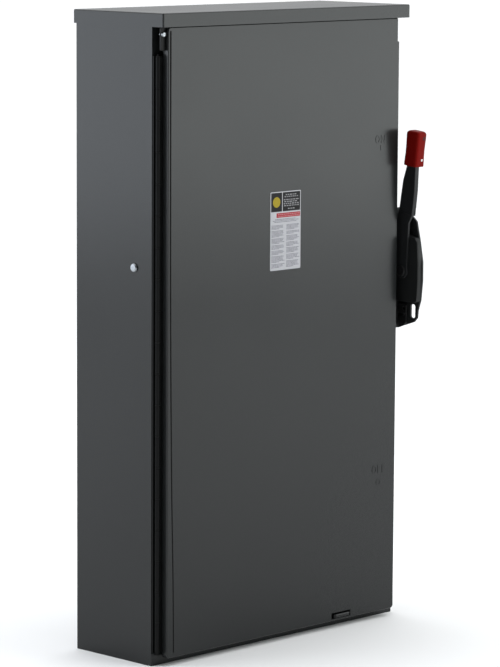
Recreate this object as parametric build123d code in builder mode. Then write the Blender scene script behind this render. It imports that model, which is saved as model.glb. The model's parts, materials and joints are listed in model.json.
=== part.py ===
"""Outdoor fusible safety switch (disconnect box), wall mounted, handle in ON.

Frame: millimetres, +Z up, the wall is the plane Y = 0 and the door looks along -Y.
The origin is the centre of the four wall-mounting holes, on the wall plane.
"""
import os
from math import atan2, cos, degrees, hypot, radians, sin

from build123d import *

# ---- enclosure ------------------------------------------------------------
HALF_W = 350.5            # half the width over the side panels
HALF_H = 638.5            # half the height over the roof
SHEET = 2.0               # enclosure sheet thickness
WALL_GAP = 5.0            # the feet hold the back this far off the wall
FRONT = -218.0            # front face of the body flanges
FLANGE_LEFT = -320.0      # inner edge of the hinge-side flange
FLANGE_RIGHT = 312.0      # inner edge of the handle-side flange
GUTTER = 17.5             # rain gutter lip standing forward of the flanges
OPEN_LOW = -598.0         # bottom and top edge of the door opening
OPEN_HIGH = 596.0

ROOF_HALF = 352.5         # half the width over the roof
ROOF_FRONT = -251.0
ROOF_SHEET = 1.9
ROOF_LIP = 26.9           # height of the roof's turned-down lip

FOOT_X = 305.0            # wall-mounting holes
FOOT_Z = 451.5
FOOT_HOLE_R = 5.5

# ---- door -----------------------------------------------------------------
DOOR_LEFT = -333.0
DOOR_RIGHT = 328.0
DOOR_LOW = -622.0
DOOR_HIGH = 611.1
DOOR_FRONT = -245.0
DOOR_SHEET = 1.9
DOOR_DEPTH = 21.0         # flange depth at the top, bottom and right
HINGE_DEPTH = 14.0        # flange depth on the hinge side
HINGE_X = -342.0          # door hinge axis
HINGE_Y = -226.0
HINGE_R = 5.0
PIN_R = 2.5
KNUCKLES = 19             # knuckles along the continuous hinge
HINGE_LOW = -612.0
HINGE_HIGH = 556.0

# ---- handle ---------------------------------------------------------------
PIVOT_Y = -243.0          # handle pivot axis, along X
PIVOT_Z = 88.0
LEVER_X = 343.0           # left face of the lever
LEVER_T = 6.0             # thickness of the lever's shank
CRANK_R = 18.0            # throw of both drive cranks
SHAFT_Y = -190.0          # operating shaft, level with the pivot
SHAFT_R = 7.0
BUSH_R = 10.0             # bush that carries the shaft through the side
RUNNING = 0.06            # radial clearance of a turning fit

# ---- switch and fuses -----------------------------------------------------
POLE_MID = -32.0          # X of the middle pole
POLE_STEP = 112.0
POLES = [POLE_MID + POLE_STEP * k for k in (-1, 0, 1)]
PAN_FRONT = -26.0         # front face of the inner mounting pan
PAN_T = 2.5
AXIS_Y = -84.0            # blade pivot axis, along X
AXIS_Z = 150.0
BLADE_R = 122.0           # blade tip radius
BLADE_T = 8.0
FUSE_R = 27.0
FUSE_LOW = -150.0         # ends of the fuse tubes
FUSE_HIGH = -20.0
FUSE_Y = -112.0


def block(x, y, z, mode=Mode.ADD):
    """A box between the pairs of limits x, y and z."""
    middle = ((x[0] + x[1]) / 2, (y[0] + y[1]) / 2, (z[0] + z[1]) / 2)
    with Locations(middle):
        Box(abs(x[1] - x[0]), abs(y[1] - y[0]), abs(z[1] - z[0]), mode=mode)


def rod_x(y, z, radius, x, mode=Mode.ADD):
    """A round bar along X between the limits x."""
    with Locations(((x[0] + x[1]) / 2, y, z)):
        Cylinder(radius, abs(x[1] - x[0]), rotation=(0, 90, 0), mode=mode)


def rod_y(x, z, radius, y, mode=Mode.ADD):
    """A round bar along Y between the limits y."""
    with Locations((x, (y[0] + y[1]) / 2, z)):
        Cylinder(radius, abs(y[1] - y[0]), rotation=(90, 0, 0), mode=mode)


def rod_z(x, y, radius, z, mode=Mode.ADD):
    """A round bar along Z between the limits z."""
    with Locations((x, y, (z[0] + z[1]) / 2)):
        Cylinder(radius, abs(z[1] - z[0]), mode=mode)


def hex_y(x, z, across, y, mode=Mode.ADD):
    """A hexagon bar along Y, across its flats, between the limits y."""
    with BuildSketch(Plane.XZ.offset(-max(y))) as outline:
        with Locations((x, z)):
            RegularPolygon(across / 2, 6, major_radius=False)
    extrude(outline.sketch, amount=max(y) - min(y), mode=mode)


def side_profile(points, x, mode=Mode.ADD):
    """A plate whose outline is a list of (y, z) points, between the limits x."""
    with BuildSketch(Plane.YZ.offset(min(x))) as outline:
        with BuildLine():
            Polyline(*points, close=True)
        make_face()
    extrude(outline.sketch, amount=max(x) - min(x), mode=mode)


def save(piece, name):
    """Label a finished piece and write its STEP file."""
    piece.part.label = name
    export_step(piece.part, f"parts/{name}.step")


os.makedirs("parts", exist_ok=True)

BACK = -WALL_GAP
INNER = HALF_W - SHEET
ROOF_UNDER = HALF_H - ROOF_SHEET
LIP_LOW = HALF_H - ROOF_LIP
WALL_TOP = ROOF_UNDER - 0.5
GUTTER_Y = (FRONT - GUTTER, FRONT + SHEET)

BOND_Y = -170.0           # bonding bolt through the left side
BOND_Z = 144.5
BOND_R = 4.0

# ---- enclosure shell ------------------------------------------------------
with BuildPart() as back_panel:
    block((-INNER, INNER), (BACK - SHEET, BACK), (-HALF_H + SHEET, WALL_TOP - SHEET))
    for x in (-FOOT_X, FOOT_X):
        for z in (-FOOT_Z, FOOT_Z):
            rod_y(x, z, FOOT_HOLE_R, (BACK - 2 * SHEET, BACK), Mode.SUBTRACT)
save(back_panel, "back_panel")

with BuildPart() as left_side_panel:
    block((-HALF_W, -INNER), (FRONT, BACK), (-HALF_H + SHEET, WALL_TOP))
    block((-HALF_W, FLANGE_LEFT), (FRONT, FRONT + SHEET), (-HALF_H + SHEET, WALL_TOP))
    block((FLANGE_LEFT - SHEET, FLANGE_LEFT), GUTTER_Y, (OPEN_LOW, OPEN_HIGH))
    rod_x(BOND_Y, BOND_Z, BOND_R + 0.2, (-HALF_W - 1, -INNER + 1), Mode.SUBTRACT)
save(left_side_panel, "left_side_panel")

with BuildPart() as right_side_panel:
    block((INNER, HALF_W), (FRONT, BACK), (-HALF_H + SHEET, WALL_TOP))
    block((FLANGE_RIGHT, HALF_W), (FRONT, FRONT + SHEET), (-HALF_H + SHEET, WALL_TOP))
    block((FLANGE_RIGHT, FLANGE_RIGHT + SHEET), GUTTER_Y, (OPEN_LOW, OPEN_HIGH))
    rod_x(SHAFT_Y, PIVOT_Z, BUSH_R, (INNER - 1, HALF_W + 1), Mode.SUBTRACT)
save(right_side_panel, "right_side_panel")

with BuildPart() as top_endwall:
    block((-INNER, INNER), (FRONT + SHEET, BACK), (WALL_TOP - SHEET, WALL_TOP))
    block((FLANGE_LEFT, FLANGE_RIGHT), (FRONT, FRONT + SHEET), (OPEN_HIGH, WALL_TOP))
    block((FLANGE_LEFT, FLANGE_RIGHT), GUTTER_Y, (OPEN_HIGH, OPEN_HIGH + SHEET))
save(top_endwall, "top_endwall")

# Cable entries in the bottom: each a round opening closed by a knocked-out disc.
ENTRIES = [(x, -112.0, 46.0) for x in (-190.0, 0.0, 190.0)]
ENTRY_GAP = 0.8
with BuildPart() as bottom_endwall:
    block((-HALF_W, HALF_W), (FRONT, BACK), (-HALF_H, -HALF_H + SHEET))
    block((FLANGE_LEFT, FLANGE_RIGHT), (FRONT, FRONT + SHEET), (-HALF_H + SHEET, OPEN_LOW))
    block((FLANGE_LEFT, FLANGE_RIGHT), GUTTER_Y, (OPEN_LOW - SHEET, OPEN_LOW))
    for x, y, radius in ENTRIES:
        rod_z(x, y, radius, (-HALF_H - 1, -HALF_H + SHEET + 1), Mode.SUBTRACT)
save(bottom_endwall, "bottom_endwall")

with BuildPart() as knockout_discs:
    for x, y, radius in ENTRIES:
        rod_z(x, y, radius - ENTRY_GAP, (-HALF_H, -HALF_H + SHEET))
        for side in (-1, 1):
            tie = (x + side * (radius - 2), x + side * (radius - 0.06))
            block(tie, (y - 2, y + 2), (-HALF_H + 0.3, -HALF_H + SHEET - 0.3))
save(knockout_discs, "knockout_discs")

SEAM = 0.8
with BuildPart() as rain_roof:
    block((-ROOF_HALF, ROOF_HALF), (ROOF_FRONT, 0), (LIP_LOW, HALF_H))
    top_edges = rain_roof.faces().sort_by(Axis.Z)[-1].edges()
    fillet(top_edges.filter_by(Axis.X).sort_by(Axis.Y)[0], 3.0)
    fillet(rain_roof.edges().filter_by(Axis.Y).group_by(Axis.Z)[-1], 3.0)
    inside = ROOF_HALF - ROOF_SHEET
    hollow_y = (ROOF_FRONT + ROOF_SHEET, 1)
    block((-inside, inside), hollow_y, (LIP_LOW - 1, ROOF_UNDER), Mode.SUBTRACT)
    for side in (-1, 1):
        seam = (side * (ROOF_HALF - SEAM), side * (ROOF_HALF + 1))
        block(seam, (ROOF_FRONT - 1, hollow_y[0]), (LIP_LOW - 1, HALF_H - 4), Mode.SUBTRACT)
save(rain_roof, "rain_roof")

# Four pads that carry the wall bolts and hold the back off the wall.
with BuildPart() as mounting_feet:
    for side in (-1, 1):
        for z in (-FOOT_Z, FOOT_Z):
            block((side * 280, side * 338), (BACK, 0), (z - 32, z + 32))
            rod_y(side * FOOT_X, z, FOOT_HOLE_R, (BACK - 1, 1), Mode.SUBTRACT)
save(mounting_feet, "mounting_feet")

# Round-headed bonding bolt through the left side, with its nut inside.
with BuildPart() as bonding_bolt:
    rod_x(BOND_Y, BOND_Z, BOND_R, (-HALF_W - 1, -INNER + 20))
    with BuildSketch(Plane.YZ.offset(-HALF_W)):
        with Locations((BOND_Y, BOND_Z)):
            Circle(8.6)
    extrude(amount=-4.6)
    head = bonding_bolt.faces().sort_by(Axis.X)[0]
    fillet(head.edges(), 3.4)
save(bonding_bolt, "bonding_bolt")

with BuildPart() as bonding_nut:
    with BuildSketch(Plane.YZ.offset(-INNER + 5)):
        with Locations((BOND_Y, BOND_Z)):
            RegularPolygon(7, 6, major_radius=False)
            Circle(BOND_R, mode=Mode.SUBTRACT)
    extrude(amount=6.5)
save(bonding_nut, "bonding_nut")

with BuildPart() as ground_bar:
    block((-INNER, -INNER + 5), (BOND_Y - 14, BOND_Y + 14), (BOND_Z - 110, BOND_Z + 22))
    rod_x(BOND_Y, BOND_Z, BOND_R, (-INNER - 1, -INNER + 6), Mode.SUBTRACT)
save(ground_bar, "ground_bar")

GROUND_LUGS = [BOND_Z - 40 - 26 * k for k in range(3)]
with BuildPart() as ground_lugs:
    for z in GROUND_LUGS:
        block((-INNER + 5, -INNER + 25), (BOND_Y - 10, BOND_Y + 10), (z - 9, z + 9))
        rod_z(-INNER + 13, BOND_Y, 4.6, (z - 10, z + 10), Mode.SUBTRACT)
        rod_x(BOND_Y, z, 3.5, (-INNER + 17, -INNER + 26), Mode.SUBTRACT)
save(ground_lugs, "ground_lugs")

with BuildPart() as ground_lug_screws:
    for z in GROUND_LUGS:
        rod_x(BOND_Y, z, 3.5, (-INNER + 18, -INNER + 28))
        slot_x = (-INNER + 26.5, -INNER + 29)
        block(slot_x, (BOND_Y - 4, BOND_Y + 4), (z - 0.6, z + 0.6), Mode.SUBTRACT)
save(ground_lug_screws, "ground_lug_screws")

# Fixed tongue at the bottom lip that reaches through the door's slot for a padlock.
TAB_X = (148.5, 195.0)
TAB_Z = (-617.0, -609.5)
with BuildPart() as hasp_tab:
    block(TAB_X, (-246.6, FRONT), TAB_Z)
    block((TAB_X[0] + 8, TAB_X[1] - 8), (FRONT - 3, FRONT), (TAB_Z[1], OPEN_LOW - SHEET))
    chamfer(hasp_tab.edges().filter_by(Axis.X).sort_by(Axis.Y)[:2], 1.5)
    chamfer(hasp_tab.edges().filter_by(Axis.Z).group_by(Axis.Y)[0], 4.0)
    rod_z(171, -238, 3.0, (TAB_Z[0] - 1, TAB_Z[1] + 1), Mode.SUBTRACT)
save(hasp_tab, "hasp_tab")

# ---- door hinge -----------------------------------------------------------
KNUCKLE_L = (HINGE_HIGH - HINGE_LOW) / KNUCKLES
KNUCKLE_GAP = 0.6


def knuckle_span(k):
    """Height limits of knuckle k of the continuous hinge."""
    low = HINGE_LOW + k * KNUCKLE_L
    return (low + KNUCKLE_GAP / 2, low + KNUCKLE_L - KNUCKLE_GAP / 2)


with BuildPart() as hinge_body_leaf:
    block((-349.5, -336.0), (FRONT - 3.5, FRONT), (HINGE_LOW, HINGE_HIGH))
    for k in range(0, KNUCKLES, 2):
        rod_z(HINGE_X, HINGE_Y, HINGE_R, knuckle_span(k))
    for k in range(1, KNUCKLES, 2):
        low, high = knuckle_span(k)
        swing = (low - KNUCKLE_GAP, high + KNUCKLE_GAP)
        rod_z(HINGE_X, HINGE_Y, HINGE_R + 0.5, swing, Mode.SUBTRACT)
    rod_z(HINGE_X, HINGE_Y, PIN_R, (HINGE_LOW - 1, HINGE_HIGH + 1), Mode.SUBTRACT)
save(hinge_body_leaf, "hinge_body_leaf")

with BuildPart() as hinge_pin:
    rod_z(HINGE_X, HINGE_Y, PIN_R, (HINGE_LOW - 4, HINGE_HIGH + 3))
save(hinge_pin, "hinge_pin")

LEAF_Y = (DOOR_FRONT + HINGE_DEPTH, DOOR_FRONT + HINGE_DEPTH + 2.5)
with BuildPart() as hinge_door_leaf:
    block((HINGE_X + 2, -323.5), LEAF_Y, (HINGE_LOW, HINGE_HIGH))
    for k in range(1, KNUCKLES, 2):
        rod_z(HINGE_X, HINGE_Y, HINGE_R, knuckle_span(k))
    for k in range(0, KNUCKLES, 2):
        low, high = knuckle_span(k)
        swing = (low - KNUCKLE_GAP, high + KNUCKLE_GAP)
        rod_z(HINGE_X, HINGE_Y, HINGE_R + 0.5, swing, Mode.SUBTRACT)
    rod_z(HINGE_X, HINGE_Y, PIN_R + 0.06, (HINGE_LOW - 1, HINGE_HIGH + 1), Mode.SUBTRACT)
save(hinge_door_leaf, "hinge_door_leaf")

# ---- door -----------------------------------------------------------------
NOTCH_DEPTH = 5.5
NOTCH_LOW = 563.0
SLOT_X = (139.0, 196.0)
SLOT_Z = (-618.0, -605.5)
STROKE = 2.2
EMBOSS = 0.7


def bar(start, end):
    """A raised stroke on the door front between two (x, z) points."""
    run, rise = end[0] - start[0], end[1] - start[1]
    middle = ((start[0] + end[0]) / 2, (start[1] + end[1]) / 2)
    with BuildSketch(Plane.XZ.offset(-DOOR_FRONT - 0.5)) as stroke:
        with Locations(middle):
            SlotOverall(hypot(run, rise) + STROKE, STROKE, rotation=degrees(atan2(rise, run)))
    extrude(stroke.sketch, amount=0.5 + EMBOSS)


def raised_ring(x, z, half_w, half_h):
    """A raised oval letter O on the door front."""
    with BuildSketch(Plane.XZ.offset(-DOOR_FRONT - 0.5)) as stroke:
        with Locations((x, z)):
            Ellipse(half_w, half_h)
            Ellipse(half_w - STROKE, half_h - STROKE, mode=Mode.SUBTRACT)
    extrude(stroke.sketch, amount=0.5 + EMBOSS)


def raised_n(x, z, width, height):
    """A raised letter N with its lower left corner at (x, z)."""
    bar((x, z), (x, z + height))
    bar((x, z + height), (x + width, z))
    bar((x + width, z), (x + width, z + height))


def raised_f(x, z, width, height):
    """A raised letter F with its lower left corner at (x, z)."""
    bar((x, z), (x, z + height))
    bar((x, z + height), (x + width, z + height))
    bar((x, z + height * 0.55), (x + width * 0.8, z + height * 0.55))


ON_Z = 358.0
OFF_Z = -328.0
LETTER_H = 15.0
with BuildPart() as door_panel:
    block((DOOR_LEFT, DOOR_RIGHT), (DOOR_FRONT, DOOR_FRONT + DOOR_DEPTH), (DOOR_LOW, DOOR_HIGH))
    fillet(door_panel.edges().filter_by(Axis.Y), 7.0)
    fillet(door_panel.faces().sort_by(Axis.Y)[0].edges(), 2.0)
    with BuildSketch(Plane.XZ.offset(-DOOR_FRONT - DOOR_SHEET)):
        with Locations(((DOOR_LEFT + DOOR_RIGHT) / 2, (DOOR_LOW + DOOR_HIGH) / 2)):
            width = DOOR_RIGHT - DOOR_LEFT - 2 * DOOR_SHEET
            height = DOOR_HIGH - DOOR_LOW - 2 * DOOR_SHEET
            RectangleRounded(width, height, 5.1)
    extrude(amount=-DOOR_DEPTH, mode=Mode.SUBTRACT)
    hinge_cut = (DOOR_FRONT + HINGE_DEPTH, DOOR_FRONT + DOOR_DEPTH + 1)
    block((DOOR_LEFT - 1, DOOR_LEFT + 7.5), hinge_cut, (DOOR_LOW - 1, DOOR_HIGH + 1), Mode.SUBTRACT)
    notch = (DOOR_RIGHT - NOTCH_DEPTH, DOOR_RIGHT + 1)
    block(notch, (DOOR_FRONT - 1, DOOR_FRONT + DOOR_DEPTH + 1), (NOTCH_LOW, DOOR_HIGH + 1), Mode.SUBTRACT)
    block(SLOT_X, (DOOR_FRONT - 1, DOOR_FRONT + DOOR_SHEET + 1), SLOT_Z, Mode.SUBTRACT)
    raised_ring(264.5, ON_Z + LETTER_H / 2, 6.5, LETTER_H / 2 + 1)
    raised_n(276, ON_Z, 10, LETTER_H)
    bar((274.5, ON_Z - 15), (274.5, ON_Z - 6))
    raised_ring(264.5, OFF_Z + LETTER_H / 2, 6.5, LETTER_H / 2 + 1)
    raised_f(276, OFF_Z, 8, LETTER_H)
    raised_f(289.5, OFF_Z, 8, LETTER_H)
    raised_ring(277, OFF_Z - 20, 6.5, 6.5)
save(door_panel, "door_panel")

GASKET_W = 13.0
GASKET_Y = (FRONT - GUTTER - 0.2, DOOR_FRONT + DOOR_SHEET)
with BuildPart() as door_gasket:
    ring_x = (FLANGE_LEFT - 6, FLANGE_RIGHT + 8)
    ring_z = (OPEN_LOW - 6.5, OPEN_HIGH + 6.5)
    block(ring_x, GASKET_Y, ring_z)
    hole_x = (ring_x[0] + GASKET_W, ring_x[1] - GASKET_W)
    hole_z = (ring_z[0] + GASKET_W, ring_z[1] - GASKET_W)
    block(hole_x, (GASKET_Y[0] - 10, GASKET_Y[1] + 10), hole_z, Mode.SUBTRACT)
save(door_gasket, "door_gasket")

with BuildPart() as door_stiffener:
    for z in (-300.0, 300.0):
        block((-290, 280), (DOOR_FRONT + DOOR_SHEET, DOOR_FRONT + DOOR_SHEET + 14), (z - 20, z + 20))
        channel = (DOOR_FRONT + DOOR_SHEET - 1, DOOR_FRONT + DOOR_SHEET + 12)
        block((-291, 281), channel, (z - 12, z + 12), Mode.SUBTRACT)
save(door_stiffener, "door_stiffener")

with BuildPart() as door_label:
    block((-50, 37), (DOOR_FRONT - 0.3, DOOR_FRONT), (119.5, 276.5))
    fillet(door_label.edges().filter_by(Axis.Y), 2.0)
save(door_label, "door_label")

BRACKET_LEFT = -345.5
BRACKET_LOW = 566.5
BRACKET_Y = (-238.0, -233.5)
SCREW_X = -340.5
SCREW_Z = 597.5
with BuildPart() as hinge_top_bracket:
    block((BRACKET_LEFT, DOOR_LEFT), BRACKET_Y, (BRACKET_LOW, DOOR_HIGH))
    fillet(hinge_top_bracket.edges().filter_by(Axis.Y).group_by(Axis.X)[0], 2.0)
    rod_y(SCREW_X, SCREW_Z, 3.0, (BRACKET_Y[0] - 1, BRACKET_Y[1] + 1), Mode.SUBTRACT)
save(hinge_top_bracket, "hinge_top_bracket")

with BuildPart() as hinge_bracket_screw:
    rod_y(SCREW_X, SCREW_Z, 3.0, (BRACKET_Y[0], BRACKET_Y[1] + 3))
    rod_y(SCREW_X, SCREW_Z, 4.8, (BRACKET_Y[0] - 3.6, BRACKET_Y[0]))
    fillet(hinge_bracket_screw.faces().sort_by(Axis.Y)[0].edges(), 1.8)
    slot_y = (BRACKET_Y[0] - 4, BRACKET_Y[0] - 2.4)
    block((SCREW_X - 4, SCREW_X + 4), slot_y, (SCREW_Z - 0.7, SCREW_Z + 0.7), Mode.SUBTRACT)
save(hinge_bracket_screw, "hinge_bracket_screw")

with BuildPart() as interlock_hook:
    block((262, 300), (DOOR_FRONT + DOOR_SHEET, DOOR_FRONT + DOOR_SHEET + 3), (PIVOT_Z - 70, PIVOT_Z - 30))
    block((278, 282), (DOOR_FRONT + DOOR_SHEET + 3, -190), (PIVOT_Z - 62, PIVOT_Z - 38))
    block((278, 282), (-200, -190), (PIVOT_Z - 70, PIVOT_Z - 62))
save(interlock_hook, "interlock_hook")

# ---- handle base ----------------------------------------------------------
# Outlines seen from the side, as (y, z) offsets from the handle pivot.
SHIELD_OUTLINE = [(25, 130), (8, 122), (-14, 112), (-24, 103), (-33.5, 61), (-41, 20),
                  (-41, -20), (-37, -60), (-30, -82), (-28.5, -98), (-20, -107), (3, -115), (25, -122)]
CORE_OUTLINE = [(25, 76), (-12, 74), (-30, 70), (-37, 61), (-39.5, 20),
                (-39.5, -20), (-37, -60), (-33, -64), (25, -64)]
COVER_X = (350.0, 352.0)
CORE_X = (352.0, 362.0)
SHIELD_X = (362.0, 368.0)
SKIRT_X = (HALF_W + 0.3, SHIELD_X[0])
SKIRT_BACK = -160.0
PLATE_X = (336.0, SHIELD_X[0])
PLATE_Y = (FRONT - 4.0, FRONT)
POCKET_X = (354.0, SHIELD_X[0])
EYE_Y = (-266.0, -253.0)          # padlock eye in the shield
EYE_Z = (-11.0, 18.0)
POST_Y = -240.0
POST_Z = -4.0
POST_R = 2.5


def from_pivot(points):
    """Outline points given as offsets from the handle pivot."""
    return [(PIVOT_Y + y, PIVOT_Z + z) for y, z in points]


PLATE_SCREWS = [(343.0, PIVOT_Z + 117), (343.0, PIVOT_Z - 108)]
SKIRT_SCREWS = [(-184.0, PIVOT_Z + 88), (-184.0, PIVOT_Z - 80)]
with BuildPart() as handle_base:
    side_profile(from_pivot(SHIELD_OUTLINE), SHIELD_X)
    block(SHIELD_X, (FRONT, SKIRT_BACK), (PIVOT_Z - 105, PIVOT_Z + 112))
    fillet(handle_base.edges().filter_by(Axis.X).group_by(Axis.Y)[-1], 8.0)
    chamfer(handle_base.faces().sort_by(Axis.X)[-1].edges(), 1.5)
    side_profile(from_pivot(CORE_OUTLINE), CORE_X)
    block(SKIRT_X, (FRONT, SKIRT_BACK), (PIVOT_Z - 97, PIVOT_Z + 104))
    block(PLATE_X, PLATE_Y, (PIVOT_Z - 122, PIVOT_Z + 130))
    block(POCKET_X, (PIVOT_Y - 32, SHAFT_Y + 26), (PIVOT_Z - 26, PIVOT_Z + 26), Mode.SUBTRACT)
    block(SKIRT_X, (FRONT, SHAFT_Y + 26), (PIVOT_Z - 26, PIVOT_Z + 26), Mode.SUBTRACT)
    rod_x(PIVOT_Y, PIVOT_Z, SHAFT_R + RUNNING, CORE_X, Mode.SUBTRACT)
    with BuildSketch(Plane.YZ.offset(SHIELD_X[0])):
        with Locations(((EYE_Y[0] + EYE_Y[1]) / 2, (EYE_Z[0] + EYE_Z[1]) / 2)):
            RectangleRounded(EYE_Y[1] - EYE_Y[0], EYE_Z[1] - EYE_Z[0], 5.0)
    extrude(amount=SHIELD_X[1] - SHIELD_X[0], mode=Mode.SUBTRACT)
    rod_x(POST_Y, POST_Z, POST_R, (SHIELD_X[0] - 7, SHIELD_X[0]))
    for x, z in PLATE_SCREWS:
        rod_y(x, z, 2.5, (PLATE_Y[0] - 1, PLATE_Y[1] + 1), Mode.SUBTRACT)
    for y, z in SKIRT_SCREWS:
        rod_x(y, z, 2.5, (SKIRT_X[0] - 1, SHIELD_X[1] + 1), Mode.SUBTRACT)
save(handle_base, "handle_base")

with BuildPart() as handle_cover:
    side_profile(from_pivot(CORE_OUTLINE), COVER_X)
    fillet(handle_cover.faces().sort_by(Axis.X)[0].edges(), 1.2)
    rod_x(PIVOT_Y, PIVOT_Z, SHAFT_R + RUNNING, (COVER_X[0] - 1, COVER_X[1] + 1), Mode.SUBTRACT)
    plate_step = (PLATE_Y[0], FRONT + 1)
    block((COVER_X[0] - 1, COVER_X[1] + 1), plate_step, (PIVOT_Z - 70, PIVOT_Z + 80), Mode.SUBTRACT)
save(handle_cover, "handle_cover")

with BuildPart() as handle_base_screws:
    for x, z in PLATE_SCREWS:
        rod_y(x, z, 2.5, (PLATE_Y[0], FRONT))
        rod_y(x, z, 4.5, (PLATE_Y[0] - 2.6, PLATE_Y[0]))
        block((x - 3, x + 3), (PLATE_Y[0] - 3, PLATE_Y[0] - 1.4), (z - 0.5, z + 0.5), Mode.SUBTRACT)
    for y, z in SKIRT_SCREWS:
        rod_x(y, z, 2.5, (SKIRT_X[0], SHIELD_X[1]))
        rod_x(y, z, 5.0, (SHIELD_X[1], SHIELD_X[1] + 3))
        block((SHIELD_X[1] + 1.6, SHIELD_X[1] + 4), (y - 3.5, y + 3.5), (z - 0.6, z + 0.6), Mode.SUBTRACT)
save(handle_base_screws, "handle_base_screws")

SLIDE_X = (356.3, 360.3)
SLIDE_TRAVEL = 14.0
with BuildPart() as lockout_slide:
    block(SLIDE_X, (-246.0, -224.5), (-24, 18))
    fillet(lockout_slide.edges().filter_by(Axis.X).group_by(Axis.Y)[0], 4.0)
    groove = (POST_Z - POST_R - 0.3, POST_Z + POST_R + 0.3)
    block((SLIDE_X[0] - 1, SLIDE_X[1] + 1), (POST_Y, -224), groove, Mode.SUBTRACT)
    rod_x(POST_Y, POST_Z, POST_R + 0.3, (SLIDE_X[0] - 1, SLIDE_X[1] + 1), Mode.SUBTRACT)
    rod_x(-240.5, 8, 4.0, (SLIDE_X[0] - 1, SLIDE_X[1] + 1), Mode.SUBTRACT)
save(lockout_slide, "lockout_slide")

# ---- handle ---------------------------------------------------------------
LEAN = 6.3                # degrees the lever leans forward in ON
GRIP_LOW = 221.0          # grip, measured along the lever from the pivot
GRIP_HIGH = 294.0
GRIP_W = 29.0
GRIP_SHIFT = 2.0          # the grip's middle sits outboard of the lever's
GRIP_D = 35.0
LEVER_W = 12.0            # width of the lever's upper bar across X
TANG = (11.0, 17.0)       # tang inside the grip, across X and along the depth
LEVER_MID = LEVER_X + LEVER_W / 2
SHANK_OUTLINE = [(-27, 116), (-18.5, 100.5), (-14.6, 3), (14.6, 3), (14, 104), (8, 125)]
BAR_OUTLINE = [(-27, 116), (-30, 135), (-33.8, 167), (-36.2, 219),
               (-13, 222), (-2.3, 189), (3, 158), (8, 125)]
ALONG = Plane(origin=(LEVER_MID, PIVOT_Y, PIVOT_Z), x_dir=(1, 0, 0),
              z_dir=(0, -sin(radians(LEAN)), cos(radians(LEAN))))
with BuildPart() as handle_lever:
    side_profile(from_pivot(BAR_OUTLINE), (LEVER_X, LEVER_X + LEVER_W))
    fillet(handle_lever.edges().filter_by(Axis.X, reverse=True).group_by(Axis.X)[0], 1.2)
    side_profile(from_pivot(SHANK_OUTLINE), (LEVER_X, LEVER_X + LEVER_T))
    rod_x(PIVOT_Y, PIVOT_Z, 15.0, (LEVER_X, LEVER_X + LEVER_T))
    rod_x(PIVOT_Y, PIVOT_Z, SHAFT_R, (LEVER_X - 1, LEVER_X + LEVER_T + 1), Mode.SUBTRACT)
    with BuildSketch(ALONG.offset(GRIP_LOW - 8)):
        Rectangle(*TANG)
    extrude(amount=60.0)
save(handle_lever, "handle_lever")

with BuildPart() as handle_grip:
    with BuildSketch(ALONG.offset(GRIP_LOW)):
        with Locations((GRIP_SHIFT, 0)):
            RectangleRounded(GRIP_W, GRIP_D, 5.0)
    extrude(amount=GRIP_HIGH - GRIP_LOW)
    fillet(handle_grip.faces().sort_by(Axis.Z)[-1].edges(), 4.0)
    with BuildSketch(ALONG.offset(GRIP_LOW - 8)):
        Rectangle(*TANG)
    extrude(amount=60.0, mode=Mode.SUBTRACT)
    side_profile(from_pivot(BAR_OUTLINE), (LEVER_X - 0.01, LEVER_X + LEVER_W + 0.01), Mode.SUBTRACT)
    for along in (GRIP_LOW + 16, GRIP_HIGH - 14):
        with BuildSketch(ALONG.rotated((90, 0, 0))):
            with Locations((0, along)):
                Circle(2.4)
        extrude(amount=GRIP_D, mode=Mode.SUBTRACT)
save(handle_grip, "handle_grip")

with BuildPart() as grip_screws:
    for along in (GRIP_LOW + 16, GRIP_HIGH - 14):
        with BuildSketch(ALONG.rotated((90, 0, 0)).offset(TANG[1] / 2)):
            with Locations((0, along)):
                Circle(2.4)
        extrude(amount=(GRIP_D - TANG[1]) / 2 - 0.6)
save(grip_screws, "grip_screws")

DISC_X = (354.3, 357.0)           # crank discs inside the handle base
LINK_X = (357.6, 361.2)
LINK_SLACK = 0.3                  # radial play of the link's rear eye
CRANK_PIN_R = 3.0


def crank_arm(y):
    """A crank on the end of a shaft at (y, PIVOT_Z), with its pin straight up."""
    rod_x(y, PIVOT_Z, 9.0, DISC_X)
    block(DISC_X, (y - 5, y + 5), (PIVOT_Z, PIVOT_Z + CRANK_R))
    rod_x(y, PIVOT_Z + CRANK_R, 5.0, DISC_X)
    rod_x(y, PIVOT_Z + CRANK_R, CRANK_PIN_R, (DISC_X[1], LINK_X[1] + 0.4))


with BuildPart() as pivot_shaft:
    rod_x(PIVOT_Y, PIVOT_Z, SHAFT_R, (LEVER_X, DISC_X[0]))
    rod_x(PIVOT_Y, PIVOT_Z, 11.0, (LEVER_X - 3.2, LEVER_X))
    fillet(pivot_shaft.faces().sort_by(Axis.X)[0].edges(), 2.6)
    crank_arm(PIVOT_Y)
save(pivot_shaft, "pivot_shaft")

with BuildPart() as drive_link:
    pin_z = PIVOT_Z + CRANK_R
    block(LINK_X, (PIVOT_Y, SHAFT_Y), (pin_z - 4.5, pin_z + 4.5))
    for y in (PIVOT_Y, SHAFT_Y):
        rod_x(y, pin_z, 5.5, LINK_X)
    through = (LINK_X[0] - 1, LINK_X[1] + 1)
    rod_x(PIVOT_Y, pin_z, CRANK_PIN_R + RUNNING, through, Mode.SUBTRACT)
    rod_x(SHAFT_Y, pin_z, CRANK_PIN_R + LINK_SLACK, through, Mode.SUBTRACT)
save(drive_link, "drive_link")

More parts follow.
